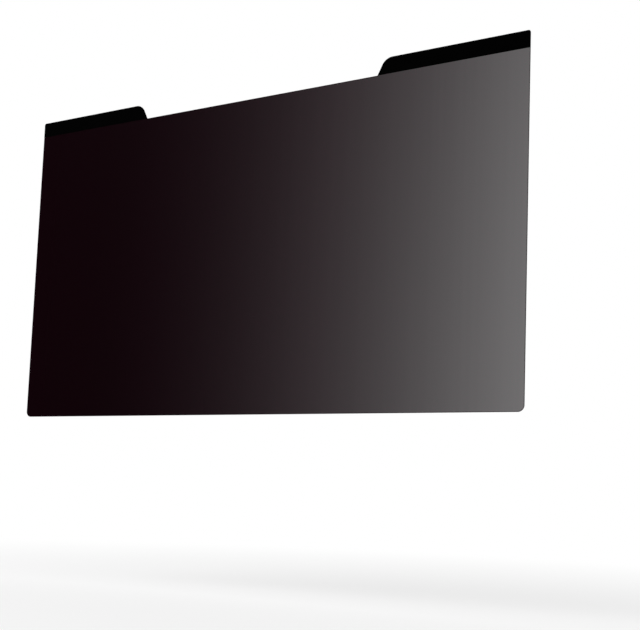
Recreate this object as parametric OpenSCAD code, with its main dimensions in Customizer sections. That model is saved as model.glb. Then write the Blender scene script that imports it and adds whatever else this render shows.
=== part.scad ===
// Privacy filter of the 24-inch widescreen size, upright as it is in use.
// X runs along the width, Y from the viewer's side to the back, and Z up.
// The origin is at the middle of the bottom edge, halfway through the whole thickness.

/* [Panel] */
// Width of the see-through panel, from side edge to side edge
panel_w = 531; // [400:1:900]
// Height of the see-through panel, without its tabs
panel_h = 299; // [180:1:500]
// Thickness of the laminated sheet
sheet_t = 0.5; // [0.3:0.05:1.5]
// Radius of the two bottom corners
bottom_corner_r = 5.5; // [1:0.5:20]

/* [Tabs] */
// Width of a tab where it leaves the panel's top edge
tab_base_w = 138; // [80:0.5:180]
// Height of a tab above the panel's top edge
tab_h = 15; // [14:0.5:35]
// Slant of a tab's inner flank, in degrees from upright
tab_flank_slant = 26; // [0:1:30]
// Radius of the shoulder between the inner flank and the tab's top edge
tab_shoulder_r = 11; // [2:0.5:11.5]
// Radius of the outer top corner
tab_corner_r = 2; // [0.5:0.5:8]
// Radius of the inside corner between the inner flank and the panel's top edge
tab_root_r = 1; // [0.5:0.25:2]
// Thickness of the opaque film over the front of a tab
cover_t = 0.15; // [0.05:0.05:0.5]

/* [Adhesive pads] */
// Thickness of a foam pad
pad_t = 0.8; // [0.4:0.1:2]
// Gap between a pad and the tab's top edge
pad_top_gap = 2; // [1:0.5:3]
// Gap between a pad and the tab's outer edge
pad_side_gap = 2; // [1:0.5:10]
// Gap between a pad and the line along which the tab folds back
pad_fold_gap = 3; // [1:0.5:5]
// Gap between a pad and the place where the tab's top edge starts to round down
pad_shoulder_gap = 2; // [1:0.5:10]
// Radius of a pad's corners
pad_corner_r = 1; // [0.5:0.25:2]

/* [Hidden] */

// Straight steps in each round
round_steps = 12;
// Angle between a tab's inner flank and its top edge
flank_angle = 90 + tab_flank_slant;
// How far the inner flank leans in over the height of a tab
flank_lean = tab_h * tan(tab_flank_slant);
// Where the shoulder's round starts, counted back from its sharp corner
shoulder_start = tab_shoulder_r / tan(flank_angle / 2);
// Height of the tabs' top edges
top_z = panel_h + tab_h;
// Distances from the middle of the panel: its side edge, a tab's root and a tab's sharp shoulder
side_x = panel_w / 2;
root_x = side_x - tab_base_w;
shoulder_x = root_x + flank_lean;
// Front faces of the layers, from the viewer's side to the back
cover_front = -(cover_t + sheet_t + pad_t) / 2;
sheet_front = cover_front + cover_t;
pad_front = sheet_front + sheet_t;

// Vector v turned anticlockwise by an angle
function turned(v, angle) = [v.x * cos(angle) - v.y * sin(angle), v.x * sin(angle) + v.y * cos(angle)];

// The points of a round of radius r in corner b, on the way from corner a to corner c
function round_points(a, b, c, r) =
    let (
        back = (a - b) / norm(a - b),
        ahead = (c - b) / norm(c - b),
        half = acos(back * ahead) / 2,
        centre = b + (back + ahead) / norm(back + ahead) * r / sin(half),
        start = b + back * r / tan(half) - centre,
        turn = sign(cross(b - a, c - b)) * (180 - 2 * half)
    )
    [for (i = [0:round_steps]) centre + turned(start, turn * i / round_steps)];

// An outline through the corners, each with its own radius, or 0 where it is sharp
module rounded_outline(corners, radii) {
    count = len(corners);
    polygon([
        for (i = [0:count - 1])
        let (
            before = corners[(i + count - 1) % count],
            after = corners[(i + 1) % count]
        )
        each radii[i] > 0 ? round_points(before, corners[i], after, radii[i]) : [corners[i]]
    ]);
}

// A flat layer of thickness t that stands upright with its front face at front
module layer(front, t) {
    translate([0, front + t, 0])
    rotate([90, 0, 0])
    linear_extrude(height = t)
    children();
}

// The die-cut outline of the whole sheet, with both tabs
module sheet_outline() {
    right = [[side_x, 0], [side_x, top_z], [shoulder_x, top_z], [root_x, panel_h]];
    right_radii = [bottom_corner_r, tab_corner_r, tab_shoulder_r, tab_root_r];
    left = [for (i = [3:-1:0]) [-right[i].x, right[i].y]];
    left_radii = [for (i = [3:-1:0]) right_radii[i]];
    rounded_outline(concat(right, left), concat(right_radii, left_radii));
}

// The film on the right tab, which ends along the line where the tab folds back
module cover_outline() {
    rounded_outline(
        [[root_x, panel_h], [side_x, panel_h], [side_x, top_z], [shoulder_x, top_z]],
        [0, 0, tab_corner_r, tab_shoulder_r]
    );
}

// The pad behind the right tab, a strip with rounded corners
module pad_outline() {
    left = shoulder_x + shoulder_start + pad_shoulder_gap;
    right = side_x - pad_side_gap;
    bottom = panel_h + pad_fold_gap;
    top = top_z - pad_top_gap;
    rounded_outline(
        [[left, bottom], [right, bottom], [right, top], [left, top]],
        [for (i = [1:4]) pad_corner_r]
    );
}

// Sealed micro-louvre laminate, die-cut in one piece with its two tabs
module filter_sheet() {
    color([0.16, 0.15, 0.16, 0.8])
    layer(sheet_front, sheet_t)
    sheet_outline();
}

// Opaque black film over the front of the left tab
module left_tab_cover() {
    color([0.02, 0.02, 0.02])
    layer(cover_front, cover_t)
    mirror([1, 0]) cover_outline();
}

// Opaque black film over the front of the right tab
module right_tab_cover() {
    color([0.02, 0.02, 0.02])
    layer(cover_front, cover_t)
    cover_outline();
}

// Double-sided foam pad behind the left tab
module left_adhesive_pad() {
    color([0.06, 0.06, 0.06])
    layer(pad_front, pad_t)
    mirror([1, 0]) pad_outline();
}

// Double-sided foam pad behind the right tab
module right_adhesive_pad() {
    color([0.06, 0.06, 0.06])
    layer(pad_front, pad_t)
    pad_outline();
}

filter_sheet();
left_tab_cover();
right_tab_cover();
left_adhesive_pad();
right_adhesive_pad();
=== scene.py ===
from math import cos, radians, sin

import bmesh
import bpy
from mathutils import Matrix

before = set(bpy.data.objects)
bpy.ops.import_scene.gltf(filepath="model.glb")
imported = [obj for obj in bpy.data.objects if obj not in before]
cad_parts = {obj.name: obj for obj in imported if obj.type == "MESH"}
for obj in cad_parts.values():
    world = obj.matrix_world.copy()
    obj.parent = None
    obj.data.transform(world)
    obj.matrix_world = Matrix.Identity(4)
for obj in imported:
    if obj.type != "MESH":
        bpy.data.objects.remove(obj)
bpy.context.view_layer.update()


# Filter sheet
# One laminate of clear film over a core of upright black louvres, too fine to see one by one.
# It is die-cut with its two tabs. The front is anti-glare, and the cut edges are black.
def new_material(name):
    material = bpy.data.materials.new(name)
    material.use_nodes = True
    return material, material.node_tree, material.node_tree.nodes["Principled BSDF"]


def put(tree, kind, inputs=(), **settings):
    """Adds a node. inputs maps a socket to a plain value or to the output that feeds it."""
    node = tree.nodes.new(kind)
    for name, value in settings.items():
        setattr(node, name, value)
    for socket, value in dict(inputs).items():
        if isinstance(value, bpy.types.NodeSocket):
            tree.links.new(value, node.inputs[socket])
        else:
            node.inputs[socket].default_value = value
    return node


def calculate(tree, operation, *values, clamp=False):
    inputs = dict(enumerate(values))
    return put(tree, "ShaderNodeMath", inputs, operation=operation, use_clamp=clamp).outputs[0]


def smooth_range(tree, value, start, end, low=0.0, high=1.0):
    inputs = {0: value, 1: start, 2: end, 3: low, 4: high}
    return put(tree, "ShaderNodeMapRange", inputs, interpolation_type="SMOOTHSTEP").outputs[0]


def colour_ramp(tree, factor, start, start_colour, end, end_colour):
    ramp = put(tree, "ShaderNodeValToRGB", {"Fac": factor})
    first, last = ramp.color_ramp.elements
    first.position = start
    first.color = (*start_colour, 1)
    last.position = end
    last.color = (*end_colour, 1)
    return ramp.outputs["Color"]


def on_object(tree):
    return put(tree, "ShaderNodeTexCoord").outputs["Object"]


def noise(tree, scale, stretch=(1, 1, 1), detail=2.0):
    place = put(tree, "ShaderNodeMapping", {"Vector": on_object(tree), "Scale": stretch})
    inputs = {"Vector": place.outputs["Vector"], "Scale": scale, "Detail": detail}
    return put(tree, "ShaderNodeTexNoise", inputs).outputs["Fac"]


def set_bump(tree, shader, height, distance, strength):
    inputs = {"Height": height, "Distance": distance, "Strength": strength}
    bump = put(tree, "ShaderNodeBump", inputs).outputs["Normal"]
    tree.links.new(bump, shader.inputs["Normal"])


def facing(tree, *direction):
    """The cosine between the line of sight and a direction fixed on the sheet, or its surface."""
    inputs = {}
    if direction:
        fixed = put(tree, "ShaderNodeNormal")
        fixed.outputs["Normal"].default_value = direction
        inputs["Normal"] = fixed.outputs["Normal"]
    aside = put(tree, "ShaderNodeLayerWeight", inputs).outputs["Facing"]
    return calculate(tree, "SUBTRACT", 1.0, aside)


def louvre_opening(tree):
    """How open the louvres look: less to the left and the right, and shut from 45 degrees on."""
    side = radians(45)
    shut_off = 0.495
    to_right = facing(tree, sin(side), -cos(side), 0)
    to_left = facing(tree, -sin(side), -cos(side), 0)
    nearer_shut = calculate(tree, "MINIMUM", to_right, to_left)
    lean = calculate(tree, "SUBTRACT", calculate(tree, "ARCCOSINE", nearer_shut), side)
    side_step = calculate(tree, "DIVIDE", calculate(tree, "TANGENT", lean), shut_off)
    squared = calculate(tree, "MULTIPLY", side_step, side_step)
    fall = calculate(tree, "EXPONENT", calculate(tree, "MULTIPLY", squared, -1.0))

    # The cosines have no sign, so beyond 45 degrees the lean would shrink and open them again.
    # What is left here is 1 less the tangent of the angle to a side, and 0 beyond 45 degrees.
    shut_at, untouched_from = 0.0, 0.05
    both_sides = calculate(tree, "ADD", to_right, to_left)
    apart = calculate(tree, "ABSOLUTE", calculate(tree, "SUBTRACT", to_right, to_left))
    ahead = calculate(tree, "MULTIPLY", facing(tree), 2 * cos(side))
    left_over = calculate(tree, "DIVIDE", calculate(tree, "SUBTRACT", ahead, apart), both_sides)
    not_wide = smooth_range(tree, left_over, shut_at, untouched_from)
    return calculate(tree, "MULTIPLY", fall, not_wide)


def broad_faces(tree):
    """1 on the front and the back, and 0 on the cut edges, which let nothing through."""
    normal = put(tree, "ShaderNodeNewGeometry").outputs["Normal"]
    turned = put(tree, "ShaderNodeSeparateXYZ", {0: normal})
    return calculate(tree, "GREATER_THAN", calculate(tree, "ABSOLUTE", turned.outputs["Y"]), 0.5)


def die_cut_line(tree):
    """The die crushes the laminate along its outline, where less than a millimetre is darker."""
    side_x, panel_top, corner_r, tab_root_x = 0.2655, 0.299, 0.0055, 0.1275
    crushed_width, whole_from, crushed_share = 0.0002, 0.0009, 0.45
    place = put(tree, "ShaderNodeSeparateXYZ", {0: on_object(tree)})
    from_middle = calculate(tree, "ABSOLUTE", place.outputs["X"])
    height = place.outputs["Z"]
    over_side = calculate(tree, "SUBTRACT", from_middle, side_x - corner_r)
    over_bottom = calculate(tree, "SUBTRACT", corner_r, height)
    past_side = calculate(tree, "MAXIMUM", over_side, 0.0)
    past_bottom = calculate(tree, "MAXIMUM", over_bottom, 0.0)
    past_both = put(tree, "ShaderNodeCombineXYZ", {0: past_side, 1: past_bottom}).outputs[0]
    reach = put(tree, "ShaderNodeVectorMath", {0: past_both}, operation="LENGTH").outputs["Value"]
    from_outline = calculate(tree, "SUBTRACT", corner_r, reach)
    under_tab = calculate(tree, "GREATER_THAN", from_middle, tab_root_x)
    from_top = calculate(tree, "ADD", calculate(tree, "SUBTRACT", panel_top, height), under_tab)
    nearest = calculate(tree, "MINIMUM", from_outline, from_top)
    return smooth_range(tree, nearest, crushed_width, whole_from, crushed_share, 1.0)


def louvre_film():
    material, tree, shader = new_material("louvre_film")

    # The louvres' pitch wanders a little, in streaks that run from top to bottom.
    streak_scale, streak_stretch, streak_depth = 260.0, (1, 1, 0.004), 0.06
    streaks = noise(tree, streak_scale, streak_stretch)
    streaks = calculate(tree, "MULTIPLY_ADD", streaks, streak_depth, 1 - streak_depth / 2)

    # A line of sight passes two faces, and this is the share that one of them lets through.
    clear_share = 0.592
    opening = louvre_opening(tree)
    see_through = clear_share
    for share in (opening, broad_faces(tree), die_cut_line(tree), streaks):
        see_through = calculate(tree, "MULTIPLY", share, see_through)
    solid = calculate(tree, "SUBTRACT", 1.0, see_through, clamp=True)
    tree.links.new(solid, shader.inputs["Alpha"])

    # Where light comes through, the film scatters a trace of it as a warm haze, painted as base
    # colour.
    # Shut, the colour is the film's own dark warm tint; open, it is that tint plus a painted glow.
    shut_until, shut_colour = 0.05, (0.0044, 0.0004, 0.0016)
    painted_glow_from, tint_with_painted_glow = 0.27, (0.0104, 0.0006, 0.0040)
    tint_and_painted_glow = colour_ramp(tree, opening, shut_until, shut_colour, painted_glow_from, tint_with_painted_glow)
    tree.links.new(tint_and_painted_glow, shader.inputs["Base Color"])
    shader.inputs["Roughness"].default_value = 0.42
    shader.inputs["Specular IOR Level"].default_value = 0.005

    # The anti-glare front has a grain too fine to see, only to feel.
    grain_scale, grain_height, grain_strength = 2500.0, 0.00002, 0.3
    grain = noise(tree, grain_scale, detail=3.0)
    set_bump(tree, shader, grain, grain_height, grain_strength)
    return material


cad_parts["filter_sheet"].material_slots[0].material = louvre_film()


# Tab covers
# Opaque black film laminated to the front of each tab, up to the line where the tab folds back.
# It is cut in the same stroke as the sheet, so its edges lie flush with the tab's.
def tab_film():
    material, tree, shader = new_material("tab_film")

    # Wiping leaves flat patches that are a trace lighter and less shiny.
    patch_scale, patch_stretch = 45.0, (1, 1, 3)
    wiped_until, dusty_from = 0.35, 0.65
    wiped_black, dusty_black = (0.0002, 0.0002, 0.0002), (0.0005, 0.0005, 0.0005)
    wiped_roughness, dusty_roughness = 0.42, 0.55
    dust = noise(tree, patch_scale, patch_stretch, detail=6.0)
    colour = colour_ramp(tree, dust, wiped_until, wiped_black, dusty_from, dusty_black)
    gloss = smooth_range(tree, dust, wiped_until, dusty_from, wiped_roughness, dusty_roughness)
    tree.links.new(colour, shader.inputs["Base Color"])
    tree.links.new(gloss, shader.inputs["Roughness"])
    shader.inputs["Specular IOR Level"].default_value = 0.003

    grain_scale, grain_height, grain_strength = 1800.0, 0.00002, 0.4
    grain = noise(tree, grain_scale, detail=3.0)
    set_bump(tree, shader, grain, grain_height, grain_strength)
    return material


black_film = tab_film()
for side in ("left", "right"):
    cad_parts[side + "_tab_cover"].material_slots[0].material = black_film


# Adhesive pads
# Black closed-cell foam strips, sticky on both sides, one on the back of each tab.
# They are what holds the filter up once its tabs are folded back.
def pad_foam():
    material, tree, shader = new_material("pad_foam")
    cell_scale, cell_depth, cell_strength = 1400.0, 0.0001, 0.5
    # Painted shade: the cells darken towards their hollow middles; their walls keep the foam's own
    # colour.
    shaded_pore_colour, skin_colour = (0.006, 0.006, 0.0065), (0.022, 0.022, 0.023)
    inputs = {"Vector": on_object(tree), "Scale": cell_scale}
    cells = put(tree, "ShaderNodeTexVoronoi", inputs).outputs["Distance"]
    colour = colour_ramp(tree, cells, 0.0, shaded_pore_colour, 1.0, skin_colour)
    tree.links.new(colour, shader.inputs["Base Color"])
    shader.inputs["Roughness"].default_value = 0.85
    shader.inputs["Specular IOR Level"].default_value = 0.2
    set_bump(tree, shader, cells, cell_depth, cell_strength)
    return material


black_foam = pad_foam()
for side in ("left", "right"):
    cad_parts[side + "_adhesive_pad"].material_slots[0].material = black_foam


# Floor
# A plain pale floor, a hand's span below the filter, which hangs free above it.
# It fades into the white background away from the filter, and keeps the filter's soft shadow.
def seen_directly(tree):
    """1 for a line of sight, also in a reflection or through the film, and 0 for light."""
    path = put(tree, "ShaderNodeLightPath")
    seen = calculate(tree, "MAXIMUM", path.outputs["Is Camera Ray"], path.outputs["Is Glossy Ray"])
    return calculate(tree, "MAXIMUM", seen, path.outputs["Is Transmission Ray"])


def pale_floor():
    material, tree, shader = new_material("pale_floor")
    shader.inputs["Base Color"].default_value = (0.93, 0.93, 0.93, 1)
    shader.inputs["Roughness"].default_value = 0.9
    shader.inputs["Specular IOR Level"].default_value = 0.1
    near, far, near_white_share = 0.35, 1.1, 0.55
    away = put(tree, "ShaderNodeVectorMath", {0: on_object(tree)}, operation="LENGTH")
    fade = smooth_range(tree, away.outputs["Value"], near, far, near_white_share, 1.0)
    share = calculate(tree, "MULTIPLY", fade, seen_directly(tree))
    white = put(tree, "ShaderNodeEmission", {"Color": (1, 1, 1, 1), "Strength": 1.0})
    mix = put(tree, "ShaderNodeMixShader", {0: share, 1: shader.outputs[0], 2: white.outputs[0]})
    tree.links.new(mix.outputs[0], tree.nodes["Material Output"].inputs["Surface"])
    return material


floor_half, floor_drop = 8.0, 0.165
floor_place = Matrix.Translation((0, 0, -floor_drop))
floor_shape = bmesh.new()
bmesh.ops.create_grid(floor_shape, x_segments=1, y_segments=1, size=floor_half, matrix=floor_place)
floor_mesh = bpy.data.meshes.new("floor")
floor_shape.to_mesh(floor_mesh)
floor_shape.free()
floor = bpy.data.objects.new("floor", floor_mesh)
bpy.context.scene.collection.objects.link(floor)
floor_mesh.materials.append(pale_floor())


# Light
# A white room gives even light from all round, and one large softbox hangs high on the left.
# The room looks fully white, whatever part of that light it gives.
room_light = 0.75
world = bpy.data.worlds.new("white_room")
world.use_nodes = True
bpy.context.scene.world = world
room = world.node_tree.nodes["Background"]
room.inputs["Color"].default_value = (1, 1, 1, 1)
room_seen = seen_directly(world.node_tree)
level = calculate(world.node_tree, "MULTIPLY_ADD", room_seen, 1.0 - room_light, room_light)
world.node_tree.links.new(level, room.inputs["Strength"])

softbox = bpy.data.objects.new("softbox", bpy.data.lights.new("softbox", "AREA"))
softbox.data.shape = "RECTANGLE"
softbox.data.size = 1.6
softbox.data.size_y = 1.2
softbox.data.energy = 18.0
softbox.location = (-1.1, -1.5, 1.9)
softbox.rotation_euler = (radians(42), 0, radians(-36))
bpy.context.scene.collection.objects.link(softbox)


# Camera
# Near and a little below the filter, in front of its right half and turned to look across it.
# Part of its upward look is a lens shift, so that the upright edges converge only a little.
camera = bpy.data.objects.new("camera", bpy.data.cameras.new("camera"))
camera.location = (0.5073, -0.7758, -0.0750)
camera.rotation_euler = (radians(95.465), radians(-2.082), radians(28.571))
camera.data.sensor_width = 36.0
camera.data.lens = 57.05
camera.data.shift_y = 0.1375
camera.data.clip_start = 0.01
camera.data.clip_end = 50.0
bpy.context.scene.collection.objects.link(camera)
bpy.context.scene.camera = camera
bpy.context.scene.view_settings.view_transform = "Standard"
